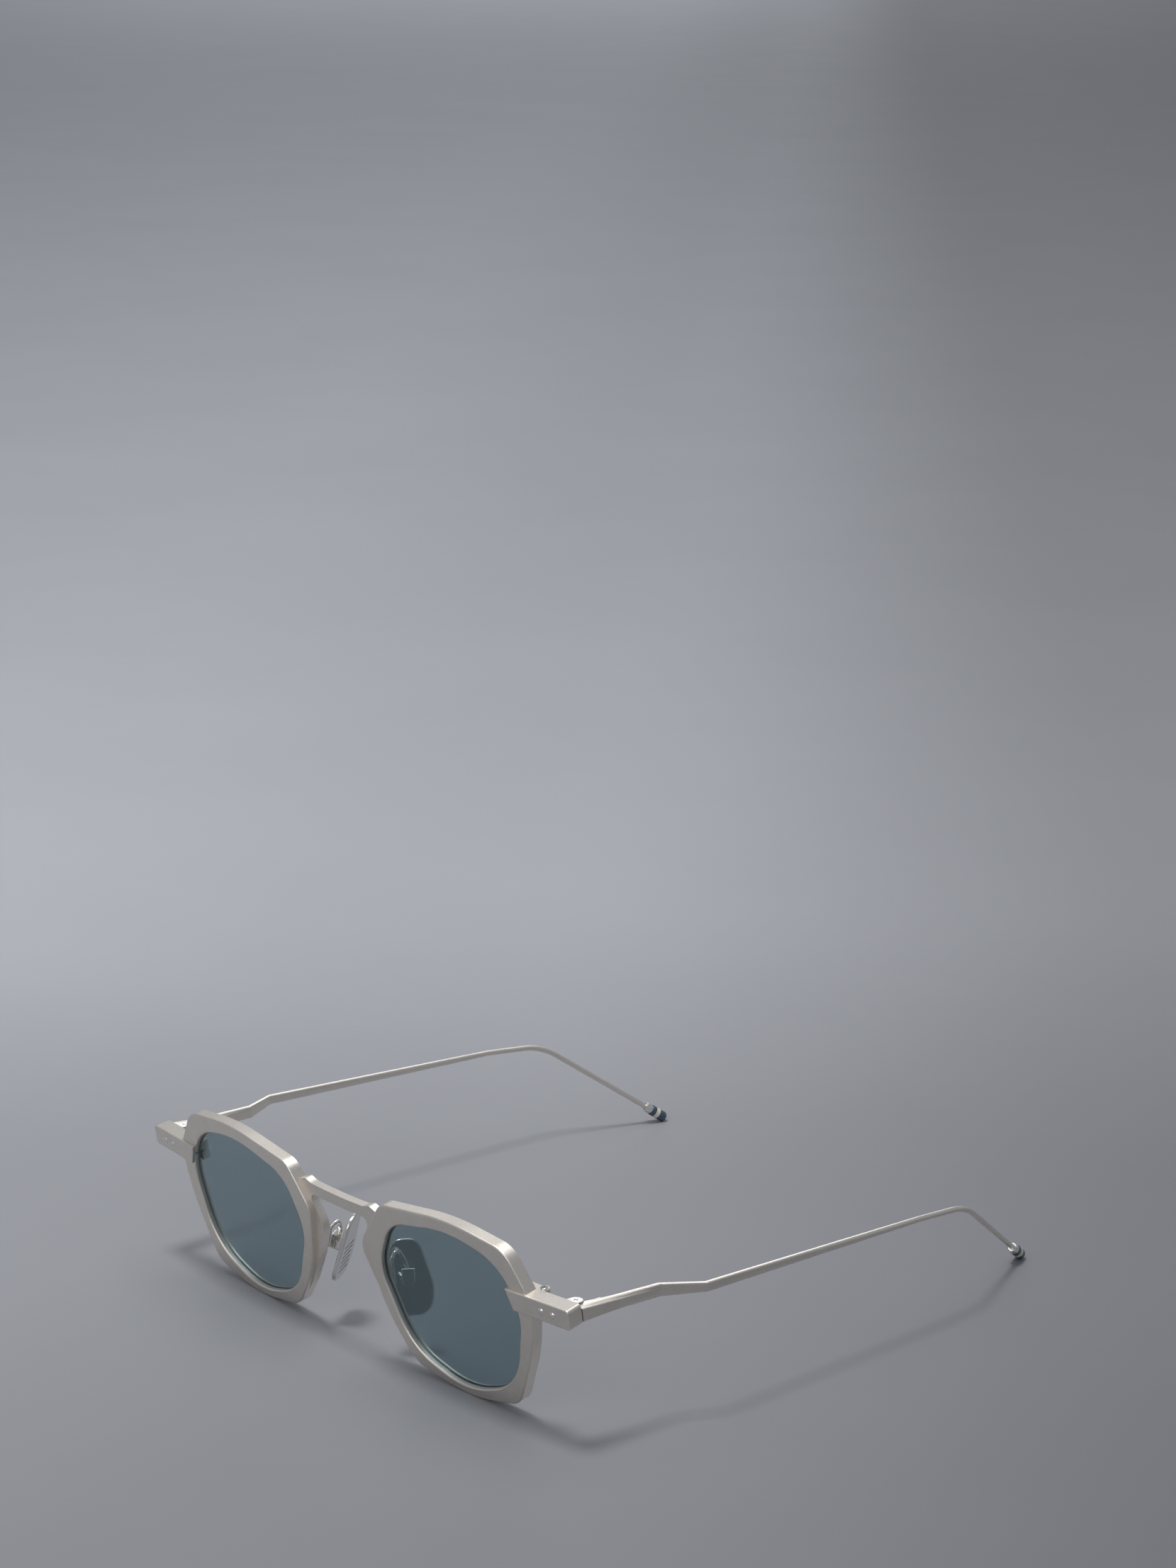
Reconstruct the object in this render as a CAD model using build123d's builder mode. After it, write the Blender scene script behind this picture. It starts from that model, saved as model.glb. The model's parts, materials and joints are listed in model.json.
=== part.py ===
from build123d import *
from math import cos, radians, sin, sqrt, tan
import os

# A pair of metal sunglasses, open, standing on its two rims and its two temple tips.
# Millimetres. X runs across the face (+X is the wearer's left), the lenses look along -Y
# and the temples run back along +Y. Z is up, with Z = 0 on the surface it stands on.
# Only the left side is drawn: each of its pieces is mirrored for the right side.

# The front: the rims lean back at the bottom and wrap back at the temples.
FRONT_Y = -70.48
RIM_X = 35.0
RIM_Z = 19.91
TILT = 9.4
RIM_WRAP = 3.0

# Rim: corners and corner radii of its outside and of the lens opening, in the rim's plane
RIM_CORNERS = [
    (-19.3, 17.8), (2.0, 20.5), (19.0, 18.5), (25.3, 8.5), (23.6, -3.0),
    (17.2, -17.5), (2.0, -20.9), (-14.6, -18.0), (-22.4, -7.0), (-25.9, 8.7),
]
RIM_RADII = [4.5, 60.0, 6.5, 9.0, 40.0, 5.5, 34.0, 8.0, 32.0, 5.0]
OPENING_CORNERS = [
    (-17.0, 14.0), (1.5, 17.8), (17.8, 14.4), (21.2, 3.5),
    (17.2, -13.4), (1.0, -19.4), (-15.2, -14.4), (-22.3, 2.6),
]
OPENING_RADII = [9.5, 34.0, 12.5, 13.0, 15.0, 21.0, 15.0, 10.0]
RIM_DEPTH = 2.8
FRONT_LIP = 1.0
BACK_LIP = 0.4
GROOVE = 0.6
OUTER_EDGE_RADIUS = 0.4
INNER_EDGE_RADIUS = 0.5
LENS_DEPTH = 1.3
LENS_IN_GROOVE = 0.55

# Closing blocks: two lugs on the back of the rim above and below its saw cut
CUT_V = 8.05
CUT_WIDTH = 0.25
CUT_LENGTH = 19.0
LUG_U = (19.6, 25.3)
LUG_V = (5.8, 10.3)
LUG_DEPTH = 1.8
BARREL_U = 25.15
BARREL_DEPTH = 4.0
BARREL_RADIUS = 1.15
CLOSING_HEAD_RADIUS = 0.8
CLOSING_HEAD_HEIGHT = 0.3
CLOSING_SHANK_RADIUS = 0.45
SLOT_WIDTH = 0.3
SLOT_DEPTH = 0.2
CROSS_LENGTH = 1.4

# Bridge: a band behind the rims' front plates, its outline given for the left half
WING_FRONT = 1.2
WING_THICKNESS = 1.8
WING_IN_RIM = 2.0
BRIDGE_BOW_RADIUS = 150.0
BRIDGE_CORNERS = [
    (0.0, 15.1), (8.9, 15.1), (11.0, 15.75), (15.9, 13.6), (22.0, 13.6), (22.0, -15.3),
    (18.6, -15.3), (14.9, -10.7), (9.6, -2.2), (6.1, 5.5), (11.0, 12.5), (0.0, 12.5),
]
BRIDGE_RADII = [4.0, 1.2, 0.0, 0.0, 0.0, 0.0, 10.0, 30.0, 5.0, 1.55]

# End block: its front outer corner, at mid height, and its own wrap angle
BLOCK_CORNER = (71.1, FRONT_Y + 0.6, 27.8)
BLOCK_WRAP = 6.0
BLOCK_HEIGHT = 4.5
BLOCK_TOP_LENGTH = 17.6
BLOCK_BOTTOM_LENGTH = 15.8
BLOCK_DEPTH = 3.7
BLOCK_EDGE_RADIUS = 0.3
BLOCK_CORNER_RADIUS = 0.8
RIVET_X = (-7.75, -4.65)
RIVET_RADIUS = 0.8
RIVET_HEIGHT = 0.35
RIVET_SHANK_RADIUS = 0.4
RIVET_SHANK_LENGTH = 1.6

# Temple hinge: a vertical axis behind the end block, three knuckles on one screw
HINGE_X = 67.2
HINGE_Y = FRONT_Y + 5.7
KNUCKLE_RADIUS = 1.45
BOTTOM_KNUCKLE = (26.1, 27.3)
MIDDLE_KNUCKLE = (27.35, 28.7)
TOP_KNUCKLE = (28.75, 29.95)
KNUCKLE_CLEARANCE = 0.15
KNUCKLE_GAP = 0.125
SCREW_RADIUS = 0.6
SCREW_FIT = 0.02
SCREW_RUNNING_FIT = 0.05
SCREW_HEAD_RADIUS = 1.0
SCREW_HEAD_HEIGHT = 0.45
TAB_LENGTH = 2.6
LEAF_LENGTH = 6.5
LEAF_X = (-0.2, 1.3)
SEAM = 0.12

# Temple: stations along Y as (Y, outer X, thickness, lowest Z, highest Z, corner radius)
TEMPLE_STATIONS = [
    (FRONT_Y + 3.4, 71.0, 3.8, 26.65, 29.65, 0.3),
    (FRONT_Y + 25.7, 70.35, 1.2, 26.15, 28.9, 0.3),
    (FRONT_Y + 34.5, 74.8, 1.2, 26.15, 28.25, 0.35),
]
WIRE_RADIUS = 0.625
WIRE_START = Vector(72.1, FRONT_Y + 97.8, 24.77)
EAR_BEND = Vector(70.9, FRONT_Y + 113.6, 23.3)
TIP_END = Vector(59.7, FRONT_Y + 144.34, 0.685)
EAR_RADIUS = 17.0

# Temple tip: collar, sleeve with two rings, and cap, one behind the other on the wire
TIP_RADIUS = 1.3
COLLAR_LENGTH = 2.0
SLEEVE_LENGTH = 3.1
CAP_LENGTH = 1.4
CAP_ROUND = 1.0
BEAD_RADII = (0.95, 1.25, 1.1)
BEAD_WIDEST = 1.1
TIP_BORE_RADIUS = 0.65
SLEEVE_NECK_RADIUS = 0.95
RING_BORE_RADIUS = 0.97
RING_LENGTH = 1.0

# Nose pad: its own plane leans in at the top and faces back towards the nose
PAD_CENTRE = (10.75, FRONT_Y + 7.75, 17.15)
PAD_SPLAY = 33.0
PAD_LEAN = (-0.321, 0.059, 1.0)
PAD_CORNERS = [(-3.5, -8.2), (5.4, -8.2), (6.2, -2.2), (3.1, 8.1), (-3.6, 8.1)]
PAD_RADII = [3.6, 3.6, 7.0, 3.2, 3.0]
PAD_THICKNESS = 1.0
PAD_EDGE_RADIUS = 0.4
GRIP_PLACE = (0.9, -2.6)
GRIP_COUNT = 6
GRIP_SPACING = 1.2
GRIP_LENGTH = 5.6
GRIP_WIDTH = 0.45
GRIP_DEPTH = 0.2

# Pad box on the back of the pad, the pad's stem inside it and the screw across both
BOX_X = 0.34
BOX_Y = 0.3
BOX_SIZE = (2.9, 3.6)
BOX_FROM = 0.8
BOX_HEIGHT = 2.8
BOX_ROUND = 1.2
BOX_EDGE_RADIUS = 0.3
SLOT_SIZE = (1.3, 2.4)
SLOT_HEIGHT = 2.4
STEM_SIZE = (1.1, 1.6)
STEM_TOP = 2.9
PAD_SCREW_Z = 2.2
PAD_SCREW_RADIUS = 0.35
PAD_SCREW_HEAD_RADIUS = 0.65
PAD_SCREW_HEAD_HEIGHT = 0.35
STEM_HOLE_RADIUS = 0.42
ARM_RADIUS = 0.45
ARM_POINTS = [
    (13.8, FRONT_Y + 2.5, 12.6), (12.4, FRONT_Y + 3.6, 17.0), (11.0, FRONT_Y + 3.9, 22.4),
    (10.5, FRONT_Y + 5.9, 24.1), (11.7, FRONT_Y + 7.2, 20.9),
]
ARM_RADII = [12.0, 1.0, 1.0, 4.0]

os.makedirs("parts", exist_ok=True)


def save(piece, name):
    """Label one finished piece and write its STEP file."""
    piece.label = name
    export_step(piece, f"parts/{name}.step")


def front_plane(x, y, z, wrap):
    """A plane of the front: its Z looks forward, its X runs away from the nose."""
    across = Vector(cos(radians(wrap)), sin(radians(wrap)), 0)
    up = Vector(0, -sin(radians(TILT)), cos(radians(TILT)))
    return Plane(origin=(x, y, z), x_dir=across, z_dir=across.cross(up))


rim_plane = front_plane(RIM_X, FRONT_Y, RIM_Z, RIM_WRAP)
bridge_plane = front_plane(0, FRONT_Y, RIM_Z, 0)
block_plane = front_plane(*BLOCK_CORNER, BLOCK_WRAP)
forward = Axis((0, 0, 0), rim_plane.z_dir)


def outline(corners, radii, depth, grow=0.0):
    """Face inside a rounded outline, at a depth behind the rim's front plane."""
    with BuildSketch(rim_plane.offset(-depth)) as face:
        with BuildLine():
            FilletPolyline(*corners, radius=radii, close=True)
        make_face()
        if grow:
            offset(amount=grow)
    return face.sketch


# ---------------------------------------------------------------- bridge
# The band's middle line follows both rims' planes and bows gently between them.
band_plane = Plane(origin=(0, FRONT_Y, RIM_Z), x_dir=(1, 0, 0), z_dir=bridge_plane.y_dir)
band_slope = tan(radians(RIM_WRAP)) * cos(radians(TILT))
band_y = (WING_FRONT + WING_THICKNESS / 2) * sqrt(1 + band_slope**2)
nose_y = band_y - RIM_X * band_slope

band_line = [(-RIM_X, band_y), (0, nose_y), (RIM_X, band_y)]

with BuildPart() as bridge:
    with BuildSketch(band_plane.offset(-RIM_X)):
        with BuildLine():
            FilletPolyline(*band_line, radius=BRIDGE_BOW_RADIUS)
        trace(line_width=WING_THICKNESS)
    extrude(amount=2 * RIM_X)
    with BuildSketch(bridge_plane.offset(RIM_X)):
        with BuildLine():
            FilletPolyline(*BRIDGE_CORNERS, radius=BRIDGE_RADII)
            mirror(about=Plane.YZ)
        make_face()
    extrude(amount=-2 * RIM_X, mode=Mode.INTERSECT)
    inside_rim = outline(RIM_CORNERS, RIM_RADII, 0, -WING_IN_RIM)
    left_core = extrude(inside_rim, amount=-2 * RIM_DEPTH, mode=Mode.PRIVATE)
    add(left_core, mode=Mode.SUBTRACT)
    add(left_core.mirror(Plane.YZ), mode=Mode.SUBTRACT)

# ---------------------------------------------------------------- rim and lens
with BuildPart() as rim:
    extrude(outline(RIM_CORNERS, RIM_RADII, 0), amount=-RIM_DEPTH)
    fillet(rim.faces().sort_by(forward)[-1].edges(), OUTER_EDGE_RADIUS)
    extrude(outline(OPENING_CORNERS, OPENING_RADII, 0), amount=-RIM_DEPTH, mode=Mode.SUBTRACT)
    fillet(rim.faces().sort_by(forward)[-1].inner_wires().edges(), INNER_EDGE_RADIUS)
    groove_depth = RIM_DEPTH - FRONT_LIP - BACK_LIP
    groove = outline(OPENING_CORNERS, OPENING_RADII, FRONT_LIP, GROOVE)
    extrude(groove, amount=-groove_depth, mode=Mode.SUBTRACT)
    with BuildSketch(rim_plane):
        with Locations((LUG_U[1], CUT_V)):
            Rectangle(CUT_LENGTH, CUT_WIDTH)
    extrude(amount=-RIM_DEPTH, mode=Mode.SUBTRACT)
    add(bridge.part, mode=Mode.SUBTRACT)

with BuildPart() as lens:
    extrude(outline(OPENING_CORNERS, OPENING_RADII, FRONT_LIP, LENS_IN_GROOVE), amount=-LENS_DEPTH)

# ---------------------------------------------------------------- closing blocks and screw
barrel_foot = rim_plane.from_local_coords((BARREL_U, LUG_V[0], -BARREL_DEPTH))
barrel_plane = Plane(origin=barrel_foot, x_dir=rim_plane.x_dir, z_dir=rim_plane.y_dir)


def closing_block(low, high, bore_radius):
    """One lug between two heights of the rim: a block and a barrel with a bore."""
    height = high - low
    with BuildPart() as block:
        with BuildSketch(rim_plane.offset(-RIM_DEPTH)):
            with Locations(((LUG_U[0] + LUG_U[1]) / 2, (low + high) / 2)):
                Rectangle(LUG_U[1] - LUG_U[0], height)
        extrude(amount=-LUG_DEPTH)
        with BuildSketch(barrel_plane.offset(low - LUG_V[0])):
            Circle(BARREL_RADIUS)
        extrude(amount=height)
        with BuildSketch(barrel_plane):
            Circle(bore_radius)
        extrude(amount=LUG_V[1] - LUG_V[0], mode=Mode.SUBTRACT)
    return block.part


lug_bore = CLOSING_SHANK_RADIUS + SCREW_FIT
closing_upper = closing_block(CUT_V + CUT_WIDTH / 2, LUG_V[1], lug_bore)
closing_lower = closing_block(LUG_V[0], CUT_V - CUT_WIDTH / 2, lug_bore)

with BuildPart() as closing_screw:
    with BuildSketch(barrel_plane):
        Circle(CLOSING_SHANK_RADIUS)
    extrude(amount=LUG_V[1] - LUG_V[0])
    with BuildSketch(barrel_plane.offset(LUG_V[1] - LUG_V[0])):
        Circle(CLOSING_HEAD_RADIUS)
    extrude(amount=CLOSING_HEAD_HEIGHT)
    fillet(closing_screw.edges().sort_by(Axis(barrel_foot, barrel_plane.z_dir))[-1], SLOT_DEPTH / 2)
    with BuildSketch(barrel_plane.offset(LUG_V[1] - LUG_V[0] + CLOSING_HEAD_HEIGHT)):
        Rectangle(SLOT_WIDTH, 2 * CLOSING_HEAD_RADIUS)
    extrude(amount=-SLOT_DEPTH, mode=Mode.SUBTRACT)

# ---------------------------------------------------------------- end block and its rivets
rivet_places = [(x, 0) for x in RIVET_X]

half_height = BLOCK_HEIGHT / 2
block_outward = Axis(BLOCK_CORNER, block_plane.x_dir)
block_forward = Axis(BLOCK_CORNER, block_plane.z_dir)

with BuildPart() as end_block:
    with BuildSketch(block_plane):
        outer_side = [(0, -half_height), (0, half_height)]
        inner_side = [(-BLOCK_TOP_LENGTH, half_height), (-BLOCK_BOTTOM_LENGTH, -half_height)]
        Polygon(*outer_side, *inner_side, align=None)
    extrude(amount=-BLOCK_DEPTH)
    outer_edges = end_block.faces().sort_by(block_outward)[-1].edges()
    fillet(outer_edges.filter_by(block_forward), BLOCK_CORNER_RADIUS)
    fillet(end_block.faces().sort_by(block_forward)[-1].edges(), BLOCK_EDGE_RADIUS)
    extrude(outline(RIM_CORNERS, RIM_RADII, 0), amount=-2 * BLOCK_DEPTH, mode=Mode.SUBTRACT)
    add(closing_upper, mode=Mode.SUBTRACT)
    add(closing_lower, mode=Mode.SUBTRACT)
    with BuildSketch(block_plane):
        with Locations(*rivet_places):
            Circle(RIVET_SHANK_RADIUS + SCREW_FIT)
    extrude(amount=-RIVET_SHANK_LENGTH, mode=Mode.SUBTRACT)

dome_radius = (RIVET_RADIUS**2 + RIVET_HEIGHT**2) / (2 * RIVET_HEIGHT)
dome_centres = [block_plane.from_local_coords((x, 0, RIVET_HEIGHT - dome_radius)) for x in RIVET_X]

with BuildPart() as rivets:
    with BuildSketch(block_plane):
        with Locations(*rivet_places):
            Circle(RIVET_RADIUS)
    extrude(amount=RIVET_HEIGHT)
    with Locations(*dome_centres):
        Sphere(dome_radius, mode=Mode.INTERSECT)
    with BuildSketch(block_plane):
        with Locations(*rivet_places):
            Circle(RIVET_SHANK_RADIUS)
    extrude(amount=-RIVET_SHANK_LENGTH)

# ---------------------------------------------------------------- temple hinge
def hinge_level(z):
    """Plane square to the hinge axis at a height."""
    return Plane(origin=(HINGE_X, HINGE_Y, z))


def front_knuckle(low, high):
    """A knuckle of the front, joined by a tab to the back of the end block."""
    with BuildPart() as knuckle:
        with BuildSketch(hinge_level(low)):
            Circle(KNUCKLE_RADIUS)
            with Locations((0, -TAB_LENGTH / 2)):
                Rectangle(2 * KNUCKLE_RADIUS, TAB_LENGTH)
        extrude(amount=high - low)
        add(end_block.part, mode=Mode.SUBTRACT)
        with BuildSketch(hinge_level(low)):
            Circle(SCREW_RADIUS + SCREW_FIT)
        extrude(amount=high - low, mode=Mode.SUBTRACT)
        with BuildSketch(hinge_level(TOP_KNUCKLE[1])):
            Circle(SCREW_HEAD_RADIUS + SCREW_FIT)
        extrude(amount=-SCREW_HEAD_HEIGHT, mode=Mode.SUBTRACT)
    return knuckle.part


knuckle_top = front_knuckle(*TOP_KNUCKLE)
knuckle_bottom = front_knuckle(*BOTTOM_KNUCKLE)

with BuildPart() as hinge_screw:
    with BuildSketch(hinge_level(BOTTOM_KNUCKLE[0])):
        Circle(SCREW_RADIUS)
    extrude(amount=TOP_KNUCKLE[1] - SCREW_HEAD_HEIGHT - BOTTOM_KNUCKLE[0])
    with BuildSketch(hinge_level(TOP_KNUCKLE[1] - SCREW_HEAD_HEIGHT)):
        Circle(SCREW_HEAD_RADIUS)
    extrude(amount=SCREW_HEAD_HEIGHT)
    with BuildSketch(hinge_level(TOP_KNUCKLE[1])):
        Rectangle(SLOT_WIDTH, CROSS_LENGTH)
        Rectangle(CROSS_LENGTH, SLOT_WIDTH)
    extrude(amount=-SLOT_DEPTH, mode=Mode.SUBTRACT)

with BuildPart() as temple_knuckle:
    with BuildSketch(hinge_level(MIDDLE_KNUCKLE[0])):
        Circle(KNUCKLE_RADIUS)
        with Locations(((LEAF_X[0] + LEAF_X[1]) / 2, LEAF_LENGTH / 2)):
            Rectangle(LEAF_X[1] - LEAF_X[0], LEAF_LENGTH)
        Circle(SCREW_RADIUS + SCREW_RUNNING_FIT, mode=Mode.SUBTRACT)
    extrude(amount=MIDDLE_KNUCKLE[1] - MIDDLE_KNUCKLE[0])

# ---------------------------------------------------------------- temple
tip_axis = (TIP_END - EAR_BEND).normalized()
tip_start = TIP_END - tip_axis * (COLLAR_LENGTH + SLEEVE_LENGTH + CAP_LENGTH)
clear_radius = KNUCKLE_RADIUS + KNUCKLE_CLEARANCE
wire_plane = Plane(origin=WIRE_START, x_dir=(1, 0, 0), z_dir=WIRE_START - EAR_BEND)
seam_plane = block_plane.offset(-BLOCK_DEPTH - SEAM)

with BuildPart() as temple:
    for y, outer_x, thickness, low, high, corner in TEMPLE_STATIONS:
        centre = (outer_x - thickness / 2, y, (low + high) / 2)
        with BuildSketch(Plane(origin=centre, x_dir=(1, 0, 0), z_dir=(0, -1, 0))):
            RectangleRounded(thickness, high - low, corner)
    with BuildSketch(wire_plane):
        Circle(WIRE_RADIUS)
    loft(ruled=True)
    with BuildLine() as wire_path:
        FilletPolyline(WIRE_START, EAR_BEND, TIP_END - tip_axis * CAP_LENGTH, radius=EAR_RADIUS)
    with BuildSketch(wire_plane):
        Circle(WIRE_RADIUS)
    sweep()
    split(bisect_by=seam_plane, keep=Keep.BOTTOM)
    for low, high in (BOTTOM_KNUCKLE, TOP_KNUCKLE):
        with BuildSketch(hinge_level(low - KNUCKLE_GAP)):
            Circle(clear_radius)
            with Locations((0, -TAB_LENGTH / 2)):
                Rectangle(2 * clear_radius, TAB_LENGTH)
        extrude(amount=high - low + 2 * KNUCKLE_GAP, mode=Mode.SUBTRACT)
    with BuildSketch(hinge_level(MIDDLE_KNUCKLE[0])):
        Circle(KNUCKLE_RADIUS)
    extrude(amount=MIDDLE_KNUCKLE[1] - MIDDLE_KNUCKLE[0], mode=Mode.SUBTRACT)
    add(temple_knuckle.part, mode=Mode.SUBTRACT)

# ---------------------------------------------------------------- temple tip
tip_plane = Plane(origin=tip_start, z_dir=tip_axis)
tip_side = Plane(origin=tip_start, x_dir=tip_plane.x_dir, z_dir=-tip_plane.y_dir)
sleeve_plane = tip_plane.offset(COLLAR_LENGTH)
ring_planes = (sleeve_plane, sleeve_plane.offset(SLEEVE_LENGTH - RING_LENGTH))

bead_profile = list(zip(BEAD_RADII, (0, BEAD_WIDEST, COLLAR_LENGTH)))

with BuildPart() as tip_collar:
    with BuildSketch(tip_side):
        with BuildLine():
            bead = ThreePointArc(*bead_profile)
            Polyline(bead @ 1, (TIP_BORE_RADIUS, COLLAR_LENGTH), (TIP_BORE_RADIUS, 0), bead @ 0)
        make_face()
    revolve(axis=Axis(tip_start, tip_axis))

with BuildPart() as tip_sleeve:
    with BuildSketch(sleeve_plane):
        Circle(SLEEVE_NECK_RADIUS)
    extrude(amount=SLEEVE_LENGTH)
    with BuildSketch(sleeve_plane.offset(RING_LENGTH)):
        Circle(TIP_RADIUS)
    extrude(amount=SLEEVE_LENGTH - 2 * RING_LENGTH)
    with BuildSketch(sleeve_plane):
        Circle(TIP_BORE_RADIUS)
    extrude(amount=SLEEVE_LENGTH, mode=Mode.SUBTRACT)

with BuildPart() as tip_rings:
    with BuildSketch(*ring_planes):
        Circle(TIP_RADIUS)
        Circle(RING_BORE_RADIUS, mode=Mode.SUBTRACT)
    extrude(amount=RING_LENGTH)

with BuildPart() as tip_cap:
    with BuildSketch(sleeve_plane.offset(SLEEVE_LENGTH)):
        Circle(TIP_RADIUS)
    extrude(amount=CAP_LENGTH)
    fillet(tip_cap.faces().sort_by(Axis(tip_start, tip_axis))[-1].edges(), CAP_ROUND)

# ---------------------------------------------------------------- nose pad, box, screw and arm
pad_width = Vector(sin(radians(PAD_SPLAY)), cos(radians(PAD_SPLAY)), 0)
pad_plane = Plane(origin=PAD_CENTRE, x_dir=pad_width, z_dir=pad_width.cross(Vector(*PAD_LEAN)))
pad_back = PAD_THICKNESS / 2
screw_centre = pad_plane.from_local_coords((BOX_X, BOX_Y, PAD_SCREW_Z))
screw_plane = Plane(origin=screw_centre, x_dir=pad_plane.y_dir, z_dir=pad_plane.x_dir)
half_box = BOX_SIZE[0] / 2

with BuildPart() as nose_pad:
    with BuildSketch(pad_plane.offset(-pad_back)):
        with BuildLine():
            FilletPolyline(*PAD_CORNERS, radius=PAD_RADII, close=True)
        make_face()
    extrude(amount=PAD_THICKNESS)
    pad_faces = nose_pad.faces().sort_by(Axis(PAD_CENTRE, pad_plane.z_dir))
    fillet(pad_faces[0].edges() + pad_faces[-1].edges(), PAD_EDGE_RADIUS)
    with BuildSketch(pad_plane.offset(-pad_back)):
        with Locations(GRIP_PLACE):
            with GridLocations(GRIP_SPACING, GRIP_SPACING, 1, GRIP_COUNT):
                SlotOverall(GRIP_LENGTH, GRIP_WIDTH)
    extrude(amount=GRIP_DEPTH, mode=Mode.SUBTRACT)
    with BuildSketch(pad_plane.offset(pad_back)):
        with Locations((BOX_X, BOX_Y)):
            Rectangle(*STEM_SIZE)
    extrude(amount=STEM_TOP - pad_back)
    with BuildSketch(screw_plane.offset(-half_box)):
        Circle(STEM_HOLE_RADIUS)
    extrude(amount=2 * half_box, mode=Mode.SUBTRACT)

with BuildPart() as pad_box:
    with BuildSketch(pad_plane.offset(BOX_FROM)):
        with Locations((BOX_X, BOX_Y)):
            Rectangle(*BOX_SIZE)
    extrude(amount=BOX_HEIGHT)
    upright_edges = pad_box.edges().filter_by(Axis(PAD_CENTRE, pad_plane.z_dir))
    fillet(upright_edges.sort_by(Axis(PAD_CENTRE, pad_plane.y_dir))[:2], BOX_ROUND)
    fillet(pad_box.faces().sort_by(Axis(PAD_CENTRE, pad_plane.z_dir))[-1].edges(), BOX_EDGE_RADIUS)
    with BuildSketch(pad_plane.offset(BOX_FROM)):
        with Locations((BOX_X, BOX_Y)):
            Rectangle(*SLOT_SIZE)
    extrude(amount=SLOT_HEIGHT, mode=Mode.SUBTRACT)
    with BuildSketch(screw_plane.offset(-half_box)):
        Circle(PAD_SCREW_RADIUS + SCREW_FIT)
    extrude(amount=2 * half_box, mode=Mode.SUBTRACT)

with BuildPart() as pad_screw:
    with BuildSketch(screw_plane.offset(-half_box)):
        Circle(PAD_SCREW_RADIUS)
    extrude(amount=2 * half_box)
    with BuildSketch(screw_plane.offset(-half_box)):
        Circle(PAD_SCREW_HEAD_RADIUS)
    extrude(amount=-PAD_SCREW_HEAD_HEIGHT)
    with BuildSketch(screw_plane.offset(-half_box - PAD_SCREW_HEAD_HEIGHT)):
        Rectangle(2 * PAD_SCREW_HEAD_RADIUS, SLOT_WIDTH)
    extrude(amount=SLOT_DEPTH, mode=Mode.SUBTRACT)

arm_end = pad_plane.from_local_coords((BOX_X, BOX_Y + (BOX_SIZE[1] + SLOT_SIZE[1]) / 4, PAD_SCREW_Z))

with BuildPart() as pad_arm:
    with BuildLine() as arm_path:
        FilletPolyline(*ARM_POINTS, arm_end, radius=ARM_RADII)
    with BuildSketch(Plane(origin=arm_path.line @ 0, z_dir=arm_path.line % 0)):
        Circle(ARM_RADIUS)
    sweep()
    add(bridge.part, mode=Mode.SUBTRACT)
    add(rim.part, mode=Mode.SUBTRACT)
    add(pad_box.part, mode=Mode.SUBTRACT)

save(bridge.part, "bridge")
left_pieces = {
    "rim": rim.part,
    "lens": lens.part,
    "closing_block_upper": closing_upper,
    "closing_block_lower": closing_lower,
    "closing_screw": closing_screw.part,
    "end_block": end_block.part,
    "end_block_rivets": rivets.part,
    "hinge_knuckle_top": knuckle_top,
    "hinge_knuckle_bottom": knuckle_bottom,
    "hinge_screw": hinge_screw.part,
    "temple_knuckle": temple_knuckle.part,
    "temple": temple.part,
    "tip_collar": tip_collar.part,
    "tip_sleeve": tip_sleeve.part,
    "tip_rings": tip_rings.part,
    "tip_cap": tip_cap.part,
    "nose_pad": nose_pad.part,
    "pad_box": pad_box.part,
    "pad_screw": pad_screw.part,
    "pad_arm": pad_arm.part,
}
for name, piece in left_pieces.items():
    save(piece, f"left_{name}")
    save(piece.mirror(Plane.YZ), f"right_{name}")
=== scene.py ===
import json
from math import radians

import bpy
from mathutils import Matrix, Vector

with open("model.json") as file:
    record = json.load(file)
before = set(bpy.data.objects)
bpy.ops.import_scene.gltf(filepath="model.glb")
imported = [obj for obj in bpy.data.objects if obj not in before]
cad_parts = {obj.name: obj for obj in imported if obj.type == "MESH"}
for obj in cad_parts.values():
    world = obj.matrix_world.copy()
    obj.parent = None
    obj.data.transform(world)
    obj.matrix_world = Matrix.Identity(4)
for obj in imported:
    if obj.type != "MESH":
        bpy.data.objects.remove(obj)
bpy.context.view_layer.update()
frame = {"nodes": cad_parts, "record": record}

MM = 0.001

# Camera: the floor point under it, its height in metres, and its turn and tilt in degrees.
VIEW_FOOT = (0.6013, -0.52555, 0)
VIEW_HEIGHT = 0.3234
VIEW_TURN = 49.02
VIEW_TILT = 75.11
FOCAL_LENGTH = 87.6
SENSOR_WIDTH = 36.0
CLIP_START = 0.01

# Floor: its darkest and lightest grey, and two straight gradients of painted light falloff that
# multiply it:
# a painted pool of light in a band behind the object, darker towards the front, and painted shade
# towards one side.
# Each gradient has a start, a length in metres, a turn in degrees and stops of (share of the
# length, grey).
FLOOR_HALF_WIDTH = 12.0
FLOOR_DARK = (0.43, 0.442, 0.48)
FLOOR_LIGHT = (0.475, 0.487, 0.525)
BACK_TURN = VIEW_TURN + 90
BACK_LENGTH = 5.0
BACK_LIGHT_POOL_STOPS = [(0.12, 0.60), (0.165, 0.72), (0.22, 1.0), (0.33, 0.95), (0.95, 0.80)]
SIDE_START = (-0.520, 0.185, 0)
SIDE_TURN = VIEW_TURN - 4
SIDE_LENGTH = 0.4
SIDE_SHADE_STOPS = [(0.0, 1.0), (0.5, 0.88), (0.98, 0.58)]

# Lights: the point they face, and the surrounding light's colour and strength.
MIDDLE = (0, 0, 0.02)
WORLD_COLOUR = (0.86, 0.90, 0.96, 1)
WORLD_STRENGTH = 0.35


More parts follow.
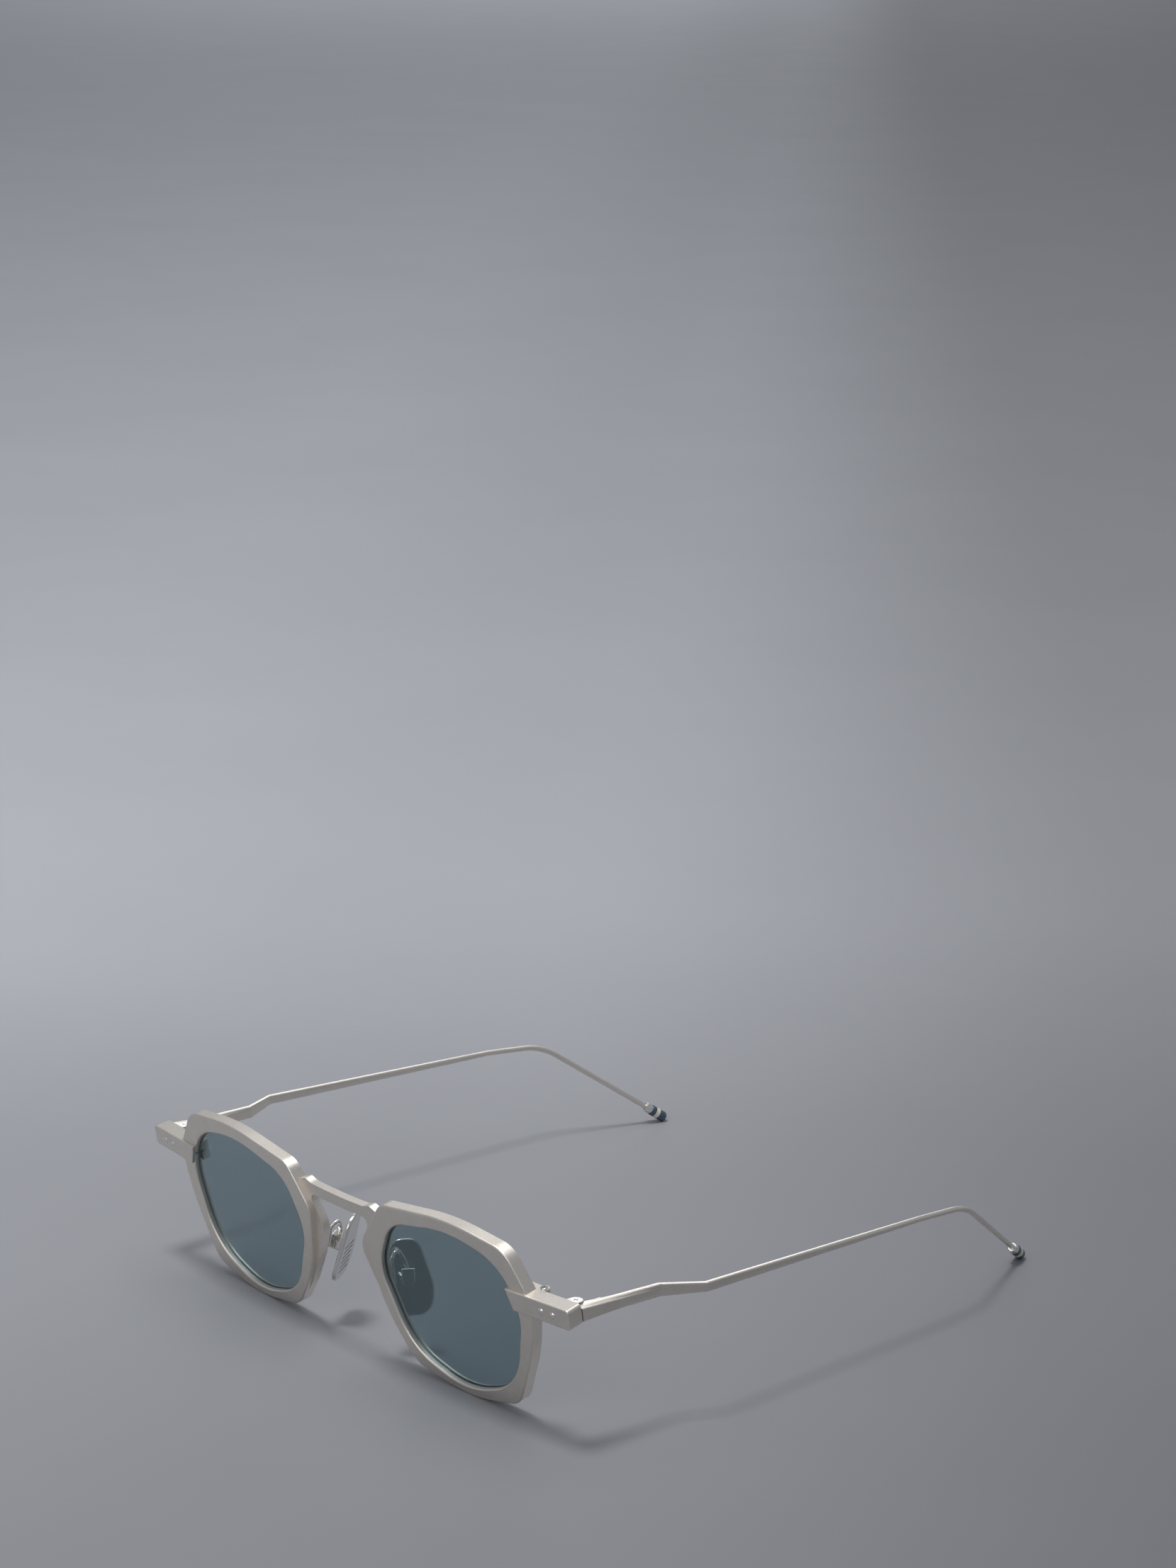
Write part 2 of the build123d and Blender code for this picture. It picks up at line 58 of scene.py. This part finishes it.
# ---------------------------------------------------------------- material tools
def new_material(name):
    """A node material: its tree, its Principled shader and itself."""
    material = bpy.data.materials.new(name)
    material.use_nodes = True
    tree = material.node_tree
    return tree, tree.nodes["Principled BSDF"], material


def noise(tree, scale, detail=2.0, roughness=0.5, stretch=(1, 1, 1)):
    """Noise in object space, scale in cycles per metre."""
    place = tree.nodes.new("ShaderNodeTexCoord")
    mapping = tree.nodes.new("ShaderNodeMapping")
    mapping.inputs["Scale"].default_value = stretch
    texture = tree.nodes.new("ShaderNodeTexNoise")
    texture.inputs["Scale"].default_value = scale
    texture.inputs["Detail"].default_value = detail
    texture.inputs["Roughness"].default_value = roughness
    tree.links.new(place.outputs["Object"], mapping.inputs["Vector"])
    tree.links.new(mapping.outputs["Vector"], texture.inputs["Vector"])
    return texture.outputs["Fac"]


def ramp(tree, value, low, high):
    """A value turned into a colour between two ends."""
    node = tree.nodes.new("ShaderNodeMix")
    node.data_type = "RGBA"
    node.inputs["A"].default_value = (*low, 1)
    node.inputs["B"].default_value = (*high, 1)
    tree.links.new(value, node.inputs["Factor"])
    return node.outputs["Result"]


def spread(tree, value, low, high):
    """The middle of a noise value's range, 0.3 to 0.7, stretched to run from low to high."""
    node = tree.nodes.new("ShaderNodeMapRange")
    node.inputs["From Min"].default_value = 0.3
    node.inputs["From Max"].default_value = 0.7
    node.inputs["To Min"].default_value = low
    node.inputs["To Max"].default_value = high
    tree.links.new(value, node.inputs["Value"])
    return node.outputs["Result"]


def bump(tree, shader, height, distance):
    """Relief of a height map, distance in metres."""
    node = tree.nodes.new("ShaderNodeBump")
    node.inputs["Strength"].default_value = 1.0
    node.inputs["Distance"].default_value = distance
    tree.links.new(height, node.inputs["Height"])
    tree.links.new(node.outputs["Normal"], shader.inputs["Normal"])


# ---------------------------------------------------------------- materials
def blasted_metal():
    """Champagne-silver bead-blasted metal: a fine sparkling grain with faint cloudy patches."""
    tree, shader, material = new_material("blasted_metal")
    shader.inputs["Metallic"].default_value = 1.0
    clouds = noise(tree, 260.0, 3.0)
    colour = ramp(tree, clouds, (0.77, 0.71, 0.64), (0.85, 0.795, 0.73))
    tree.links.new(colour, shader.inputs["Base Color"])
    grain = noise(tree, 7000.0, 2.0, 0.7)
    tree.links.new(spread(tree, grain, 0.25, 0.42), shader.inputs["Roughness"])
    bump(tree, shader, grain, 0.02 * MM)
    return material


def polished_metal():
    """Bright turned or drawn metal with a trace of wear."""
    tree, shader, material = new_material("polished_metal")
    shader.inputs["Metallic"].default_value = 1.0
    wear = noise(tree, 1500.0, 3.0)
    colour = ramp(tree, wear, (0.76, 0.75, 0.73), (0.86, 0.85, 0.83))
    tree.links.new(colour, shader.inputs["Base Color"])
    tree.links.new(spread(tree, wear, 0.06, 0.16), shader.inputs["Roughness"])
    return material


def satin_pad_metal():
    """Smooth satin metal of the nose pads, with fine upright scratches."""
    tree, shader, material = new_material("satin_pad_metal")
    shader.inputs["Metallic"].default_value = 1.0
    scratches = noise(tree, 700.0, 2.0, 0.5, (3, 3, 1))
    colour = ramp(tree, scratches, (0.73, 0.72, 0.70), (0.77, 0.76, 0.74))
    tree.links.new(colour, shader.inputs["Base Color"])
    tree.links.new(spread(tree, scratches, 0.17, 0.22), shader.inputs["Roughness"])
    return material


def tinted_lens():
    """Grey-blue tinted lens, a trace uneven in its tint."""
    tree, shader, material = new_material("tinted_lens")
    tint = noise(tree, 30.0, 2.0)
    colour = ramp(tree, tint, (0.268, 0.366, 0.402), (0.281, 0.381, 0.416))
    tree.links.new(colour, shader.inputs["Base Color"])
    shader.inputs["Transmission Weight"].default_value = 1.0
    shader.inputs["IOR"].default_value = 1.5
    shader.inputs["Roughness"].default_value = 0.0
    return material


def enamel(name, colour):
    """Glossy enamel on the temple tips, faintly uneven."""
    tree, shader, material = new_material(name)
    shade = noise(tree, 900.0, 2.0)
    dark = [c * 0.9 for c in colour]
    tree.links.new(ramp(tree, shade, dark, colour), shader.inputs["Base Color"])
    shader.inputs["Roughness"].default_value = 0.22
    shader.inputs["Coat Weight"].default_value = 0.5
    return material


MATERIAL_OF_SLOT = {
    "frame_metal": blasted_metal(),
    "polished_metal": polished_metal(),
    "pad_metal": satin_pad_metal(),
    "lens_tint": tinted_lens(),
    "tip_light": enamel("ivory_enamel", (0.78, 0.74, 0.64)),
    "tip_dark": enamel("slate_enamel", (0.05, 0.08, 0.12)),
}
for subpart in frame["record"]["subparts"]:
    piece = frame["nodes"][subpart["node"]]
    for material_slot in piece.material_slots:
        material_slot.material = MATERIAL_OF_SLOT[subpart["material_slot"]]


# ---------------------------------------------------------------- floor
def painted_light_falloff(tree, turn, start, length, stops):
    """Painted light falloff: grey that runs straight across the floor through its stops."""
    place = tree.nodes.new("ShaderNodeTexCoord")
    mapping = tree.nodes.new("ShaderNodeMapping")
    mapping.vector_type = "TEXTURE"
    mapping.inputs["Location"].default_value = start
    mapping.inputs["Rotation"].default_value = (0, 0, radians(turn))
    mapping.inputs["Scale"].default_value = (length, length, length)
    gradient = tree.nodes.new("ShaderNodeTexGradient")
    shade = tree.nodes.new("ShaderNodeValToRGB")
    shade.color_ramp.interpolation = "EASE"
    points = shade.color_ramp.elements
    for share, _ in stops[2:]:
        points.new(share)
    for point, (share, grey) in zip(points, stops):
        point.position = share
        point.color = (grey, grey, grey, 1)
    tree.links.new(place.outputs["Object"], mapping.inputs["Vector"])
    tree.links.new(mapping.outputs["Vector"], gradient.inputs["Vector"])
    tree.links.new(gradient.outputs["Color"], shade.inputs["Fac"])
    return shade.outputs["Color"]


def multiply(tree, first, second):
    """Two colours multiplied."""
    node = tree.nodes.new("ShaderNodeMix")
    node.data_type = "RGBA"
    node.blend_type = "MULTIPLY"
    node.inputs["Factor"].default_value = 1.0
    tree.links.new(first, node.inputs["A"])
    tree.links.new(second, node.inputs["B"])
    return node.outputs["Result"]


def floor_material():
    """Matte grey with a faint mottle, times painted light falloff: a painted pool of light in a
    band behind the object and painted shade towards one side.
    """
    tree, shader, material = new_material("floor")
    mottle = noise(tree, 9.0, 6.0, 0.6)
    grey = ramp(tree, mottle, FLOOR_DARK, FLOOR_LIGHT)
    # painted pool of light: lighter in a band behind the object, darker towards the front and far
    # away
    back = painted_light_falloff(tree, BACK_TURN, VIEW_FOOT, BACK_LENGTH, BACK_LIGHT_POOL_STOPS)
    grey = multiply(tree, grey, back)
    # painted shade: darker towards one side
    side = painted_light_falloff(tree, SIDE_TURN, SIDE_START, SIDE_LENGTH, SIDE_SHADE_STOPS)
    grey = multiply(tree, grey, side)
    tree.links.new(grey, shader.inputs["Base Color"])
    shader.inputs["Roughness"].default_value = 0.75
    shader.inputs["Specular IOR Level"].default_value = 0.1
    return material


def floor():
    """A wide square floor at the height that the sunglasses stand on."""
    size = FLOOR_HALF_WIDTH
    corners = [(-size, -size, 0), (size, -size, 0), (size, size, 0), (-size, size, 0)]
    mesh = bpy.data.meshes.new("floor")
    mesh.from_pydata(corners, [], [(0, 1, 2, 3)])
    plane = bpy.data.objects.new("floor", mesh)
    bpy.context.scene.collection.objects.link(plane)
    mesh.materials.append(floor_material())


# ---------------------------------------------------------------- lights and camera
def area_light(name, place, aim, size, power, colour=(1, 1, 1)):
    """A square soft light at place, turned towards aim: size in metres, power in watts."""
    data = bpy.data.lights.new(name, "AREA")
    data.size = size
    data.energy = power
    data.color = colour
    light = bpy.data.objects.new(name, data)
    light.location = place
    light.rotation_euler = (Vector(aim) - Vector(place)).to_track_quat("-Z", "Y").to_euler()
    bpy.context.scene.collection.objects.link(light)


def lights():
    """One small key light almost overhead, and three broad ones that fill the reflections."""
    area_light("key", (-0.10, -0.20, 1.50), MIDDLE, 0.30, 9.5, (1.0, 0.985, 0.96))
    area_light("overhead", (-0.6, 0.6, 2.6), (-0.5, 0.5, 0), 2.4, 20.0)
    area_light("rear_panel", (-4.2, 3.7, 1.5), MIDDLE, 2.0, 24.0)
    area_light("front_fill", (0.3, -1.7, 0.9), MIDDLE, 1.6, 7.0)


def surroundings():
    """Even, slightly blue light from all round, and colours shown without a film curve."""
    world = bpy.data.worlds.new("studio")
    bpy.context.scene.world = world
    world.use_nodes = True
    background = world.node_tree.nodes["Background"]
    background.inputs["Color"].default_value = WORLD_COLOUR
    background.inputs["Strength"].default_value = WORLD_STRENGTH
    bpy.context.scene.view_settings.view_transform = "Standard"


def camera():
    """A long lens looking down on the front from the near temple's side."""
    data = bpy.data.cameras.new("camera")
    data.lens = FOCAL_LENGTH
    data.sensor_width = SENSOR_WIDTH
    data.clip_start = CLIP_START
    view = bpy.data.objects.new("camera", data)
    view.location = (VIEW_FOOT[0], VIEW_FOOT[1], VIEW_HEIGHT)
    view.rotation_euler = (radians(VIEW_TILT), 0, radians(VIEW_TURN))
    bpy.context.scene.collection.objects.link(view)
    bpy.context.scene.camera = view


floor()
lights()
surroundings()
camera()
